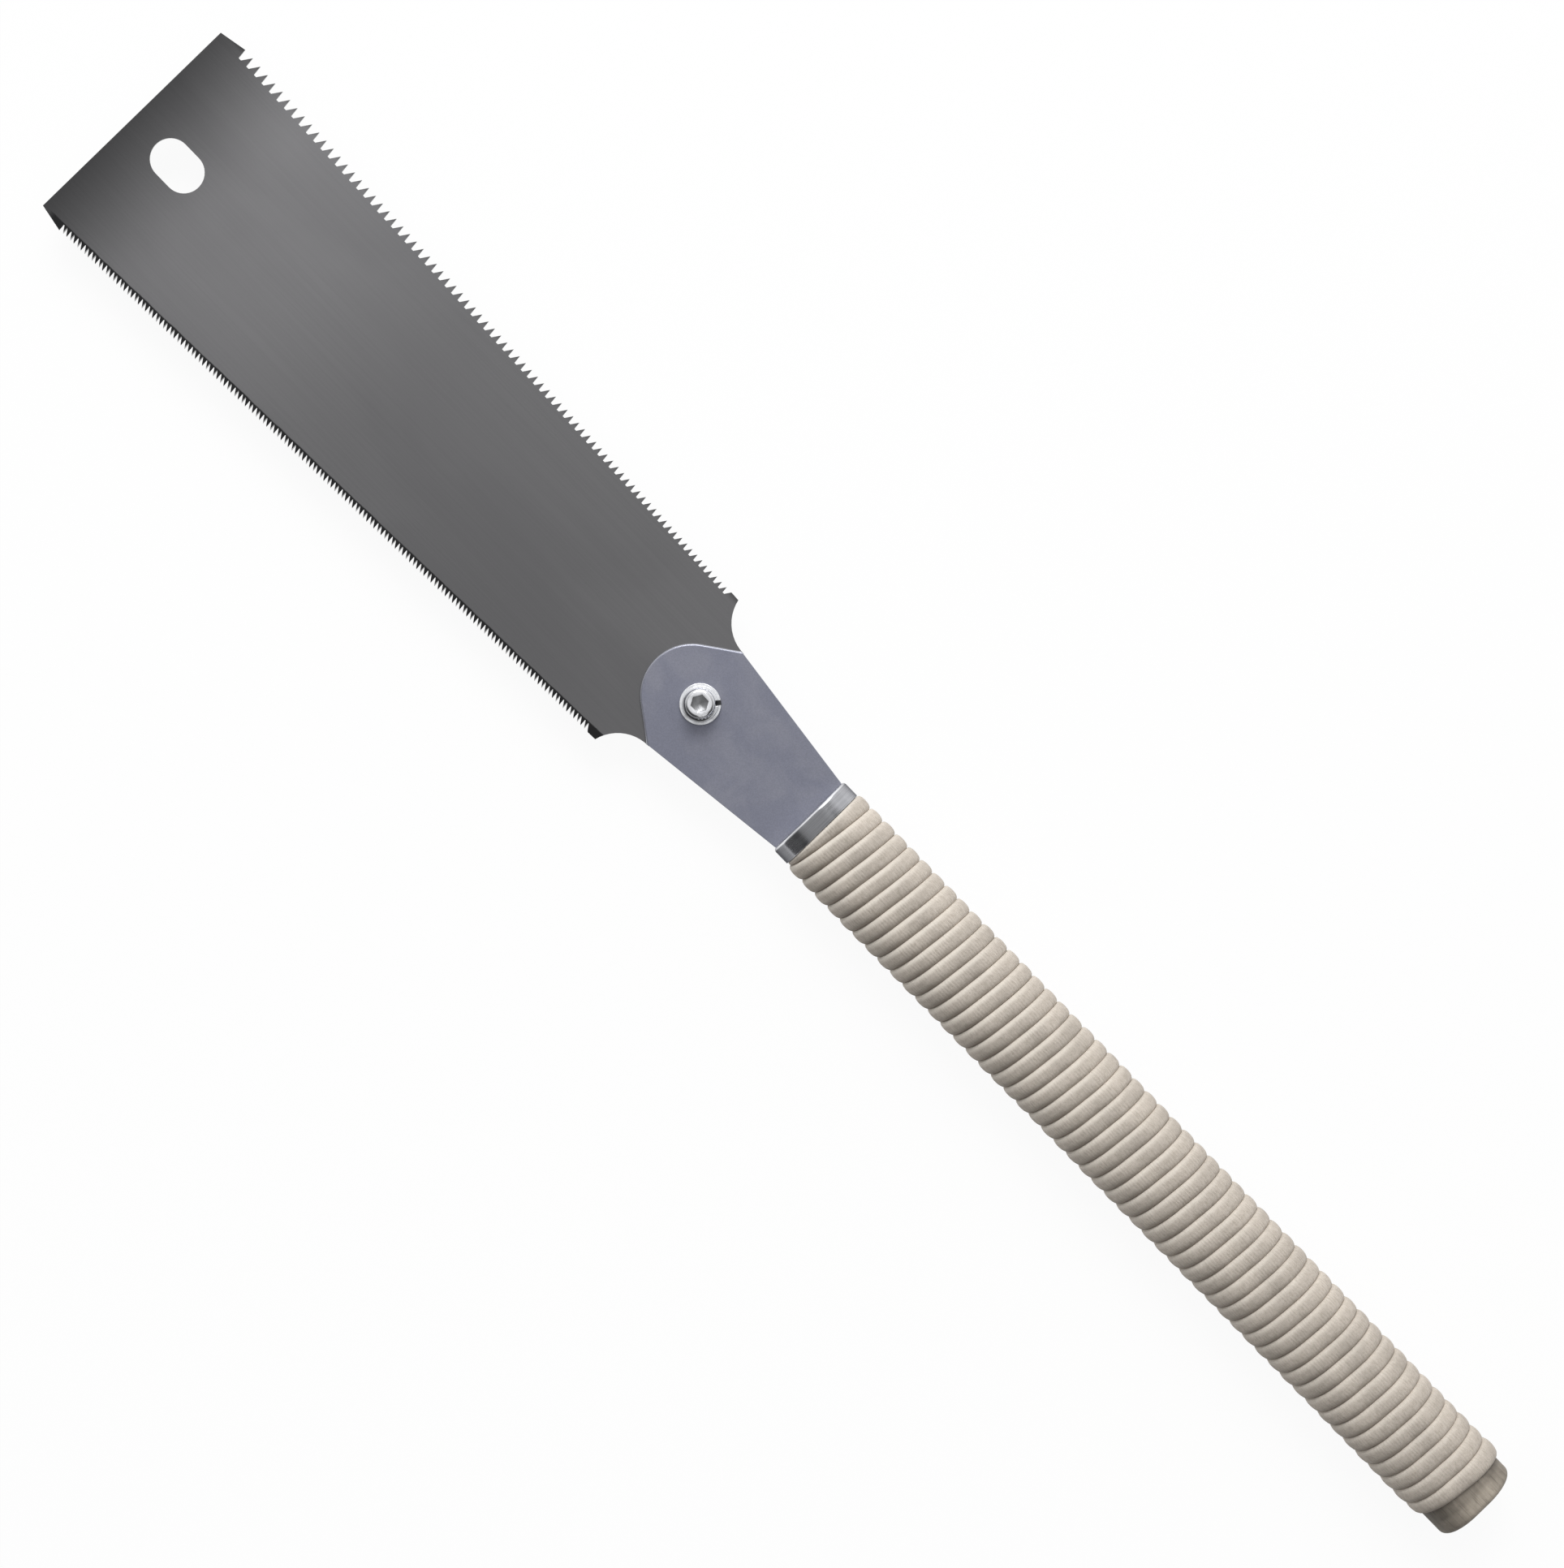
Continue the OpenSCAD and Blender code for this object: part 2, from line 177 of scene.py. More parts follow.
class CoreProps(PropertyGroup):
    """Finish of the wooden core"""

    early: colour("Early wood", "Colour of the pale grain", (0.43, 0.378, 0.312))
    late: colour("Late wood", "Colour of the dark grain", (0.27, 0.232, 0.187))
    ring: length("Ring", "Distance between two year rings", 2.2 * MM)
    heart_side: length("Heart's side", "How far the rings' middle lies towards the crosscut edge", 21 * MM)
    heart_height: length("Heart's height", "Height of the rings' middle", 31 * MM)


class CordProps(PropertyGroup):
    """Sizes and finish of the wound cord"""

    light: colour("Light", "Colour of the cord's crown", (0.62, 0.557, 0.49))
    dark: colour("Dark", "Colour between the threads", (0.40, 0.35, 0.29))
    # Paler colour of the edges towards the toe: a painted highlight
    lit: colour("Worn edge", "Colour of the rubbed edge towards the toe", (0.86, 0.80, 0.715))
    # Dark colour of the edges towards the butt: painted shade
    groove: colour("Groove", "Colour of the shade_darkened edge towards the butt", (0.22, 0.185, 0.15))
    width: length("Width", "Width of the flat cord", 5.77 * MM)
    pitch: length("Pitch", "Advance of one turn", 5.83 * MM)
    crown: length("Crown", "Thickness in the middle", 1.8 * MM)
    edge: length("Edge", "Thickness at the edges", 0.6 * MM)
    start: length("Start", "Width at which the first turn starts", 2.0 * MM)
    lean_front: length("Front lean", "How far the first turn leans", 1.8 * MM)
    lean_rear: length("Rear lean", "How far the last turn leans", -0.5 * MM)
    tail: length("Tail", "How far the last turn's edge stands out at its side", 0.9 * MM)
    bow: length("Bow", "How far the first turns bow towards the butt on top", 0.5 * MM)
    rib: length("Rib", "Distance between two cross ribs", 0.95 * MM)
    fit: length("Fit", "Room between the core and the cord", 0.08 * MM)


class StageProps(PropertyGroup):
    """Camera, floor and light"""

    height: length("Camera height", "Height of the camera over the saw", 1.0)
    view: length("View", "Length that the picture's long side shows at the saw", 508.4 * MM)
    turn: angle("Turn", "Turn of the picture about the vertical", 45.83)
    aim_x: length("Aim along", "Place of the camera along the saw, from the pivot", 36.95 * MM)
    aim_y: length("Aim across", "Place of the camera across the saw, from the pivot", 0.98 * MM)
    floor: colour("Floor", "Colour of the floor", (0.95, 0.95, 0.95))
    reach: length("Reach", "Radius of the floor", 60.0)
    clear: length("Clear", "Gap between the floor and the saw", 0.3 * MM)
    key_power: power("Key", "Power of the main lamp", 20.5)
    fill_power: power("Fill", "Power of the fill lamp", 2.8)
    top_power: power("Top", "Power of the broad lamp overhead", 5.6)
    glow: share("Glow", "Share of the floor that shows plain white", 0.93)


class SawProps(PropertyGroup):
    """All sizes and colours of the saw"""

    blade: PointerProperty(type=BladeProps)
    head: PointerProperty(type=HeadProps)
    screw: PointerProperty(type=ScrewProps)
    ferrule: PointerProperty(type=FerruleProps)
    core: PointerProperty(type=CoreProps)
    cord: PointerProperty(type=CordProps)
    stage: PointerProperty(type=StageProps)


def opaque(rgb):
    return (*rgb, 1.0)


class Finish:
    """A procedural material in the making. Inputs take plain values or other nodes' outputs."""

    def __init__(self, name):
        self.material = bpy.data.materials.new(name)
        self.material.use_nodes = True
        self.nodes = self.material.node_tree.nodes
        self.links = self.material.node_tree.links
        self.shader = self.nodes["Principled BSDF"]
        coordinates = self.nodes.new("ShaderNodeTexCoord")
        self.place = coordinates.outputs["Object"]
        self.facing = coordinates.outputs["Normal"]
        self.strip = coordinates.outputs["UV"]

    def feed(self, socket, value):
        if isinstance(value, bpy.types.NodeSocket):
            self.links.new(value, socket)
        else:
            socket.default_value = value

    def add(self, kind, inputs, **settings):
        node = self.nodes.new(kind)
        for key, value in settings.items():
            setattr(node, key, value)
        for key, value in inputs.items():
            self.feed(node.inputs[key], value)
        return node

    def surface(self, **inputs):
        """Sets the shader's inputs, named with underscores for spaces."""
        for key, value in inputs.items():
            self.feed(self.shader.inputs[key.replace("_", " ")], value)

    def calc(self, operation, *values):
        """Works out one step of arithmetic."""
        node = self.add("ShaderNodeMath", dict(enumerate(values)), operation=operation)
        return node.outputs[0]

    def parts(self, vector):
        return self.add("ShaderNodeSeparateXYZ", {"Vector": vector}).outputs

    def moved(self, vector, offset=(0.0, 0.0, 0.0), scale=(1.0, 1.0, 1.0), turn=(0.0, 0.0, 0.0)):
        inputs = {"Vector": vector, "Location": offset, "Rotation": turn, "Scale": scale}
        return self.add("ShaderNodeMapping", inputs).outputs[0]

    def noise(self, vector, scale, detail=2.0, rough=0.5, warp=0.0):
        inputs = {"Scale": scale, "Detail": detail, "Roughness": rough, "Distortion": warp}
        return self.add("ShaderNodeTexNoise", {"Vector": vector, **inputs}).outputs["Fac"]

    def span(self, value, low, high, start=0.0, end=1.0):
        """Carries low to high over to start to end, softly and no further."""
        inputs = {"Value": value, "From Min": low, "From Max": high, "To Min": start, "To Max": end}
        return self.add("ShaderNodeMapRange", inputs, interpolation_type="SMOOTHSTEP").outputs[0]

    def mix(self, part, first, second, blend="MIX"):
        node = self.add("ShaderNodeMix", {0: part, 6: first, 7: second}, data_type="RGBA", blend_type=blend)
        return node.outputs[2]

    def shade(self, tone, factor):
        """Makes a colour darker or lighter by a factor."""
        return self.mix(1.0, tone, factor, "MULTIPLY")

    def reach(self, first, second):
        """Distance from an axis, from the two parts across it."""
        squares = [self.calc("MULTIPLY", part, part) for part in (first, second)]
        return self.calc("SQRT", self.calc("ADD", *squares))

    def relief(self, *layers):
        """Bumps in metres, one on the other."""
        normal = None
        for height, depth in layers:
            inputs = {"Height": height, "Distance": depth, "Strength": 1.0}
            if normal is not None:
                inputs["Normal"] = normal
            normal = self.add("ShaderNodeBump", inputs).outputs[0]
        self.surface(Normal=normal)

    def onto(self, *pieces):
        for piece in pieces:
            piece.data.materials.clear()
            piece.data.materials.append(self.material)


def activate(piece):
    """Makes one piece the only selected one."""
    bpy.ops.object.select_all(action="DESELECT")
    piece.select_set(True)
    bpy.context.view_layer.objects.active = piece


def added(name):
    """Names the primitive just added."""
    piece = bpy.context.active_object
    piece.name = name
    piece.data.name = name
    activate(piece)
    return piece


def pick(piece, kind, test):
    """Selects the faces, edges or corners of a piece in edit mode that pass the test."""
    bpy.ops.mesh.select_mode(type=kind)
    bpy.ops.mesh.select_all(action="DESELECT")
    mesh = bmesh.from_edit_mesh(piece.data)
    for part in {"FACE": mesh.faces, "EDGE": mesh.edges, "VERT": mesh.verts}[kind]:
        if test(part):
            part.select_set(True)
    bmesh.update_edit_mesh(piece.data)


def level(part, height):
    """Tells whether every corner of a face or edge lies at a height."""
    return all(abs(corner.co.z - height) < LEVEL for corner in part.verts)


def apply_modifier(piece, kind, name, **settings):
    modifier = piece.modifiers.new(name, kind)
    for key, value in settings.items():
        setattr(modifier, key, value)
    activate(piece)
    bpy.ops.object.modifier_apply(modifier=modifier.name)


def set_down(piece):
    """Puts a piece's place into its mesh."""
    activate(piece)
    bpy.ops.object.transform_apply(location=True, rotation=True, scale=True)


def fit(piece, body, slot, *nodes):
    """Hangs a piece on the body that carries it and hides the solids that it stands for. The slot, the name
    of the finish that it takes, is not used.
    """
    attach(piece, body)
    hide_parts(*nodes)


def eased_copy(node, name, edge, rim=None):
    """Copies a solid and rounds its sharp edges.

    A rim is given as its rounding, its height, the place that it lies ahead of, and the reach about the
    pivot that it keeps out of. Its edges get the broader rounding.
    """
    piece = bpy.data.objects.new(name, frame["nodes"][node].data.copy())
    piece.data.name = name
    bpy.context.scene.collection.objects.link(piece)
    activate(piece)
    bpy.ops.object.mode_set(mode="EDIT")
    bpy.ops.mesh.select_all(action="SELECT")
    bpy.ops.mesh.remove_doubles(threshold=MERGE)
    bpy.ops.mesh.customdata_custom_splitnormals_clear()
    bpy.ops.mesh.dissolve_limited(angle_limit=FLAT)
    broad, height, rear, inner = rim or (edge, None, None, None)
    mesh = bmesh.from_edit_mesh(piece.data)
    weight = mesh.edges.layers.float.new("bevel_weight_edge")
    for side in mesh.edges:
        if side.calc_face_angle(0.0) > SHARP:
            ahead = rim and all(corner.co.x < rear for corner in side.verts)
            outside = rim and all((corner.co.xy - PIVOT.xy).length > inner for corner in side.verts)
            side[weight] = 1.0 if ahead and outside and level(side, height) else edge / broad
    bmesh.update_edit_mesh(piece.data)
    bpy.ops.object.mode_set(mode="OBJECT")
    bpy.ops.object.shade_smooth_by_angle(angle=SMOOTH)
    apply_modifier(
        piece, "BEVEL", "Eased edges", width=broad, segments=4, limit_method="WEIGHT", harden_normals=True,
        use_clamp_overlap=rim is None, loop_slide=False,
    )
    return piece


# Painted reflections, as slow changes of the blade's tone along it: start and end in mm behind the toe, and
# the tones there
BLADE_PAINTED_REFLECTIONS = ((-8, 44, 0.33, 1.26), (60, 132, 1.0, 0.785), (200, 262, 1.0, 1.08))


def blade_finish(props):
    """Satin steel with soft clouds, painted reflections along its length, a black hardened crosscut edge
    and bright filed teeth.
    """
    finish = Finish("Satin blade")
    x, y, _ = finish.parts(finish.place)
    row = PIVOT.x - props.heel_reach - (TOE.x + props.land)
    slope = (props.heel_half - props.toe_half) / row
    along = finish.calc("SUBTRACT", x, TOE.x + props.land)
    tip = finish.calc("MULTIPLY_ADD", along, slope, props.toe_half)
    from_cross = finish.calc("ADD", y, tip)
    from_rip = finish.calc("SUBTRACT", tip, y)

    clouds = finish.noise(finish.moved(finish.place, scale=(0.7, 1.3, 1.0)), 17.0, 3.0, 0.45, 0.4)
    streaks = finish.noise(finish.moved(finish.place, scale=(18.0, 2400.0, 2400.0)), 1.0, 3.0, 0.6)
    specks = finish.noise(finish.place, 900.0, 2.0, 0.6)
    tone = finish.mix(finish.span(clouds, 0.36, 0.64), opaque(props.smudge), opaque(props.steel))
    # Painted reflections: darker at the toe, paler beyond it, a little darker again past the middle and
    # paler towards the heel
    for start, end, first, last in BLADE_PAINTED_REFLECTIONS:
        tone = finish.shade(tone, finish.span(x, TOE.x + start * MM, TOE.x + end * MM, first, last))
    tone = finish.shade(tone, finish.span(streaks, 0.3, 0.7, 0.97, 1.02))
    tone = finish.shade(tone, finish.span(from_rip, 0.0, 2.2 * MM, 0.6, 1.0))

    ragged = finish.calc("MULTIPLY_ADD", finish.noise(finish.place, 260.0), 0.5 * MM, from_cross)
    hard = finish.span(ragged, props.hard_width, props.hard_width + 0.5 * MM, 1.0, 0.0)
    hard = finish.calc("MULTIPLY", hard, finish.span(along, -7.5 * MM, -4.0 * MM))
    tone = finish.mix(hard, tone, opaque(props.hardened))
    flat = finish.calc("ABSOLUTE", finish.parts(finish.facing)[2])
    filed = finish.span(flat, 0.75, 0.9, 1.0, 0.0)
    tone = finish.mix(filed, tone, opaque(props.ground))

    rough = finish.span(clouds, 0.3, 0.7, 0.44, 0.34)
    rough = finish.calc("MULTIPLY_ADD", streaks, 0.08, rough)
    rough = finish.calc("MULTIPLY_ADD", filed, -0.12, rough)
    finish.surface(Base_Color=tone, Metallic=1.0, Roughness=rough)
    finish.relief((streaks, 0.004 * MM), (specks, 0.003 * MM))
    return finish


def head_finish(props):
    """Blue-grey satin steel with faint clouds, a fine grain and a painted highlight on the rounded edges.
    """
    finish = Finish("Blue-grey head")
    clouds = finish.noise(finish.place, 75.0, 3.0, 0.5, 0.6)
    grain = finish.noise(finish.place, 2600.0, 2.0, 0.6)
    rolled = finish.noise(finish.moved(finish.place, scale=(40.0, 700.0, 700.0)), 1.0, 2.0)
    tone = finish.mix(finish.span(clouds, 0.35, 0.68), opaque(props.paint), opaque(props.worn))
    tone = finish.shade(tone, finish.span(grain, 0.3, 0.7, 0.93, 1.06))
    # Painted highlight: the rounded edges take the paler grey and a smoother finish so that they glint
    rim = finish.span(finish.calc("ABSOLUTE", finish.parts(finish.facing)[2]), 0.8, 0.97, 1.0, 0.0)
    tone = finish.mix(finish.calc("MULTIPLY", rim, 0.7), tone, opaque(props.painted_highlight))
    rough = finish.span(clouds, 0.3, 0.7, 0.5, 0.4)
    rough = finish.calc("MULTIPLY_ADD", rim, -0.18, rough)
    finish.surface(Base_Color=tone, Metallic=0.75, Roughness=rough)
    finish.relief((rolled, 0.006 * MM), (grain, 0.004 * MM))
    return finish


def zinc_finish(props, name="Bright zinc", slit=False):
    """Bright plating with faint turning marks about the pivot, painted shade in the socket and the slit, a
    painted shadow of the head on the washers, and painted shade on the screw's and nut's sides away from
    the light.
    """
    finish = Finish(name)
    centred = finish.moved(finish.place, offset=tuple(-PIVOT))
    x, y, z = finish.parts(centred)
    radius = finish.reach(x, y)
    turning = finish.calc("SINE", finish.calc("MULTIPLY", radius, math.tau / (0.16 * MM)))
    dulled = finish.noise(finish.place, 420.0, 3.0, 0.55)
    tone = finish.mix(finish.span(dulled, 0.42, 0.7), opaque(props.zinc), opaque(props.dull))
    if slit:
        rough = finish.span(dulled, 0.35, 0.7, 0.34, 0.44)
        turned = finish.moved(centred, turn=(0.0, 0.0, -props.slit_turn))
        reach, side, _ = finish.parts(turned)
        # Painted shade in the spring washer's slit
        painted_shade = finish.span(finish.calc("ABSOLUTE", side), 0.45 * props.slit, 0.75 * props.slit, 0.9, 0.0)
        painted_shade = finish.calc("MULTIPLY", painted_shade, finish.span(reach, 0.0, 1.0 * MM))
        # Painted shadow of the head on the washers, darkest on the side away from the light
        painted_head_shadow = finish.span(radius, 5.2 * MM, 5.95 * MM, 0.8, 0.0)
        painted_head_shadow = finish.calc("MULTIPLY", painted_head_shadow, finish.span(y, -3.0 * MM, 2.0 * MM, 1.0, 0.1))
        painted_shade = finish.calc("MAXIMUM", painted_shade, painted_head_shadow)
    else:
        rough = finish.span(dulled, 0.35, 0.7, 0.1, 0.2)
        # Painted shade: faces of the screw and the nut that turn towards the crosscut edge are darker
        shaded = finish.span(finish.parts(finish.facing)[1], -0.75, -0.25, 0.35, 1.0)
        tone = finish.shade(tone, shaded)
        top = SCREW_HIGH.z - PIVOT.z
        seat = HEAD_SEAT - PIVOT.z
        # Painted shade inside the hex socket, below its mouth
        painted_shade = finish.span(radius, 2.9 * MM, 3.0 * MM, 0.58, 0.0)
        painted_shade = finish.calc("MULTIPLY", painted_shade, finish.span(z, top - 0.8 * MM, top - 0.05 * MM, 1.0, 0.0))
        painted_shade = finish.calc("MULTIPLY", painted_shade, finish.span(z, seat - 0.1 * MM, seat))
    tone = finish.mix(painted_shade, tone, opaque(props.soil_and_shade))
    rough = finish.calc("MULTIPLY_ADD", painted_shade, 0.5, rough)
    finish.surface(Base_Color=tone, Metallic=1.0, Roughness=rough)
    finish.relief((turning, 0.0006 * MM), (dulled, 0.0025 * MM))
    return finish


def ferrule_finish(props):
    """Polished steel with fine streaks round the handle, painted reflections that darken its top and its
    side towards the crosscut edge, and a painted highlight on the front rim.
    """
    finish = Finish("Polished ferrule")
    streaks = finish.noise(finish.moved(finish.place, scale=(3200.0, 60.0, 60.0)), 1.0, 3.0, 0.6)
    haze = finish.noise(finish.place, 160.0, 2.0)
    tone = finish.shade(opaque(props.steel), finish.span(streaks, 0.25, 0.75, 0.84, 1.08))
    ahead, side, up = finish.parts(finish.facing)
    # Painted reflections: darker on top, much darker low on the side towards the crosscut edge and paler
    # just above that
    tone = finish.shade(tone, finish.span(up, 0.86, 0.98, 1.0, 0.52))
    tone = finish.shade(tone, finish.span(side, -0.8, -0.6, 0.35, 1.0))
    tone = finish.shade(tone, finish.span(side, -0.6, -0.2, 1.35, 1.0))
    # Painted highlight along the front rim
    rim = finish.span(ahead, -0.6, -0.2, 1.0, 0.0)
    tone = finish.mix(rim, tone, opaque(props.bright))
    rough = finish.calc("MULTIPLY_ADD", streaks, 0.12, finish.span(haze, 0.3, 0.7, 0.14, 0.24))
    rough = finish.calc("MULTIPLY_ADD", rim, 0.1, rough)
    finish.surface(Base_Color=tone, Metallic=1.0, Roughness=rough, Specular_Tint=opaque(props.grazing))
    finish.relief((streaks, 0.003 * MM))
    return finish


def core_finish(props):
    """Bare wood: grain along the handle, year rings on the butt, open pores, a painted shadow of the cord
    beside its end and painted shade on the sides.
    """
    finish = Finish("Core wood")
    heart = finish.moved(finish.place, offset=(0.0, props.heart_side, -props.heart_height))
    _, y, z = finish.parts(heart)
    wander = finish.noise(finish.moved(finish.place, scale=(9.0, 90.0, 90.0)), 1.0, 2.0)
    radius = finish.reach(y, z)
    radius = finish.calc("MULTIPLY_ADD", wander, 3.0 * MM, radius)
    rings = finish.calc("FRACT", finish.calc("DIVIDE", radius, props.ring))
    fibre = finish.noise(finish.moved(finish.place, scale=(60.0, 2400.0, 2400.0)), 1.0, 3.0, 0.6)
    pores = finish.noise(finish.moved(finish.place, scale=(160.0, 4200.0, 4200.0)), 1.0, 1.0)
    blotch = finish.noise(finish.place, 210.0, 3.0, 0.55, 0.5)
    patches = finish.span(blotch, 0.35, 0.68, 0.0, 0.65)
    grain = finish.calc("MULTIPLY_ADD", finish.span(rings, 0.25, 1.0), 0.25, patches)
    tone = finish.mix(grain, opaque(props.early), opaque(props.late))
    tone = finish.shade(tone, finish.span(fibre, 0.3, 0.7, 0.94, 1.05))
    x = finish.parts(finish.place)[0]
    side = finish.parts(finish.facing)[1]
    # Painted shadow of the cord on the wood beside the cord's end
    tone = finish.shade(tone, finish.span(x, WRAP_HIGH.x, WRAP_HIGH.x + 2.0 * MM, 0.72, 1.0))
    # Painted shade: both sides darker than the top, the side towards the crosscut edge most
    tone = finish.shade(tone, finish.span(side, -0.7, 0.1, 0.57, 1.0))
    tone = finish.shade(tone, finish.span(side, 0.2, 0.7, 1.0, 0.68))
    tone = finish.shade(tone, finish.span(pores, 0.62, 0.72, 1.0, 0.6))
    rough = finish.span(fibre, 0.3, 0.7, 0.62, 0.78)
    finish.surface(Base_Color=tone, Roughness=rough)
    finish.relief((fibre, 0.02 * MM), (pores, 0.03 * MM))
    return finish


def cord_finish(props):
    """Flat woven cord: cross ribs, long threads, pale crowns, a painted highlight on the edges towards the
    toe and painted shade on the edges towards the butt.
    """
    finish = Finish("Woven cord")
    run, across, _ = finish.parts(finish.strip)
    ripple = finish.calc("MULTIPLY_ADD", finish.noise(finish.place, 700.0, 2.0), 0.5 * MM, run)
    ribs = finish.calc("SINE", finish.calc("MULTIPLY", ripple, math.tau / props.rib))
    strong = finish.span(finish.noise(finish.place, 320.0, 2.0), 0.36, 0.68, 0.15, 1.0)
    ribs = finish.calc("MULTIPLY", ribs, strong)
    picks = finish.noise(finish.moved(finish.strip, scale=(820.0, 3.0, 1.0)), 1.0, 2.0)
    threads = finish.calc("SINE", finish.calc("MULTIPLY", across, math.tau * 13))
    fuzz = finish.noise(finish.place, 2400.0, 3.0, 0.65)
    spell = finish.noise(finish.moved(finish.strip, scale=(11.0, 0.0, 0.0)), 1.0, 2.0)
    soil_and_shade = finish.noise(finish.place, 95.0, 3.0, 0.5)
    weave = finish.calc("MULTIPLY_ADD", threads, 0.1, finish.calc("MULTIPLY", ribs, 0.16))
    weave = finish.calc("ADD", weave, finish.calc("MULTIPLY_ADD", picks, 0.9, -0.45))
    weave = finish.calc("ADD", weave, finish.calc("MULTIPLY_ADD", fuzz, 1.2, -0.1))
    tone = finish.mix(finish.span(weave, -0.15, 0.95), opaque(props.dark), opaque(props.light))
    tone = finish.shade(tone, finish.span(spell, 0.3, 0.7, 0.93, 1.05))
    tone = finish.shade(tone, finish.span(soil_and_shade, 0.3, 0.75, 1.04, 0.88))
    side = finish.parts(finish.facing)[1]
    # Painted highlight on the edges towards the toe, weaker on the side towards the rip edge and towards
    # the butt
    front = finish.span(across, 0.12, 0.42, 1.0, 0.0)
    front = finish.calc("MULTIPLY", front, finish.span(side, 0.0, 0.8, 0.58, 0.2))
    # Painted shade on the edges towards the butt, strongest on the side towards the crosscut edge
    rear = finish.calc("MULTIPLY", finish.span(across, 0.5, 1.0), finish.span(side, -0.6, 0.45, 0.8, 0.0))
    x = finish.parts(finish.place)[0]
    front = finish.calc("MULTIPLY", front, finish.span(x, WRAP_LOW.x, WRAP_HIGH.x, 1.1, 0.55))
    rear = finish.calc("MULTIPLY", rear, finish.span(x, WRAP_LOW.x, WRAP_HIGH.x, 1.08, 0.85))
    tone = finish.mix(front, tone, opaque(props.lit))
    tone = finish.mix(rear, tone, opaque(props.groove))
    rough = finish.span(fuzz, 0.3, 0.7, 0.72, 0.88)
    finish.surface(Base_Color=tone, Roughness=rough)
    finish.relief((ribs, 0.02 * MM), (picks, 0.1 * MM), (threads, 0.015 * MM), (fuzz, 0.06 * MM))
    return finish


class SAW_OT_blade(Operator):
    """Finishes the blade"""

    bl_idname = "pull_saw.blade"
    bl_label = "Blade"

    def execute(self, context):
        blade_finish(context.scene.pull_saw.blade).onto(frame["nodes"]["blade"])
        return {"FINISHED"}


class SAW_OT_head(Operator):
    """Models the two cheek plates and finishes the spacer and the pins"""

    bl_idname = "pull_saw.head"
    bl_label = "Head"

    def execute(self, context):
        props = context.scene.pull_saw.head
        finish = head_finish(props)
        for side, outer in (("front", 1), ("rear", 0)):
            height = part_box(f"{side}_cheek")[outer].z
            rim = (props.rim, height, PIVOT.x - props.corner, props.hole)
            plate = eased_copy(f"{side}_cheek", f"{side}_plate", props.edge, rim)
            finish.onto(plate)
            fit(plate, "handle", "head_steel", f"{side}_cheek")
        finish.onto(frame["nodes"]["tang_spacer"], frame["nodes"]["tang_pins"])
        return {"FINISHED"}


def screw_head(props):
    """A round head with a knurled side and a hex socket."""
    radius = (SCREW_HIGH.y - SCREW_LOW.y) / 2
    tall = SCREW_HIGH.z - HEAD_SEAT
    sides = 2 * props.flutes
    bpy.ops.mesh.primitive_cylinder_add(vertices=sides, radius=radius, depth=tall)
    head = added("socket_screw")
    bpy.ops.object.mode_set(mode="EDIT")
    pick(head, "EDGE", lambda edge: level(edge, tall / 2))
    bpy.ops.mesh.bevel(offset=props.head_round, segments=8, profile=0.5, affect="EDGES")
    pick(head, "EDGE", lambda edge: level(edge, -tall / 2))
    bpy.ops.mesh.bevel(offset=props.foot_round, segments=2, affect="EDGES")

    def every_other(face):
        middle = face.calc_center_median()
        turn = math.atan2(middle.y, middle.x) % math.tau
        return abs(face.normal.z) < 0.1 and int(turn / math.tau * sides) % 2 == 0

    pick(head, "FACE", every_other)
    bpy.ops.mesh.inset(thickness=props.flute_slope, depth=-props.flute_depth, use_individual=True)
    bpy.ops.object.mode_set(mode="OBJECT")

    key_radius = props.key_flats / math.sqrt(3)
    bpy.ops.mesh.primitive_cylinder_add(
        vertices=6, radius=key_radius, depth=2 * props.key_depth,
        location=(0.0, 0.0, tall / 2), rotation=(0.0, 0.0, math.radians(30)),
    )
    cutter = added("socket_cutter")
    bpy.ops.object.mode_set(mode="EDIT")
    pick(cutter, "FACE", lambda face: level(face, -props.key_depth))
    bpy.ops.mesh.extrude_region_move(TRANSFORM_OT_translate={"value": (0.0, 0.0, -props.drill_depth)})
    bpy.ops.transform.resize(value=(props.drill_tip, props.drill_tip, 1.0))
    bpy.ops.object.mode_set(mode="OBJECT")
    set_down(cutter)
    apply_modifier(head, "BOOLEAN", "Socket", operation="DIFFERENCE", object=cutter, solver="EXACT")
    bpy.data.objects.remove(cutter)

    def at_mouth(edge):
        within = all(corner.co.xy.length < key_radius + 5 * LEVEL for corner in edge.verts)
        return within and level(edge, tall / 2)

    bpy.ops.object.mode_set(mode="EDIT")
    pick(head, "EDGE", at_mouth)
    bpy.ops.mesh.bevel(offset=props.key_edge, segments=2, affect="EDGES")
    bpy.ops.object.mode_set(mode="OBJECT")
    head.location = (PIVOT.x, PIVOT.y, HEAD_SEAT + tall / 2)
    set_down(head)
    return head


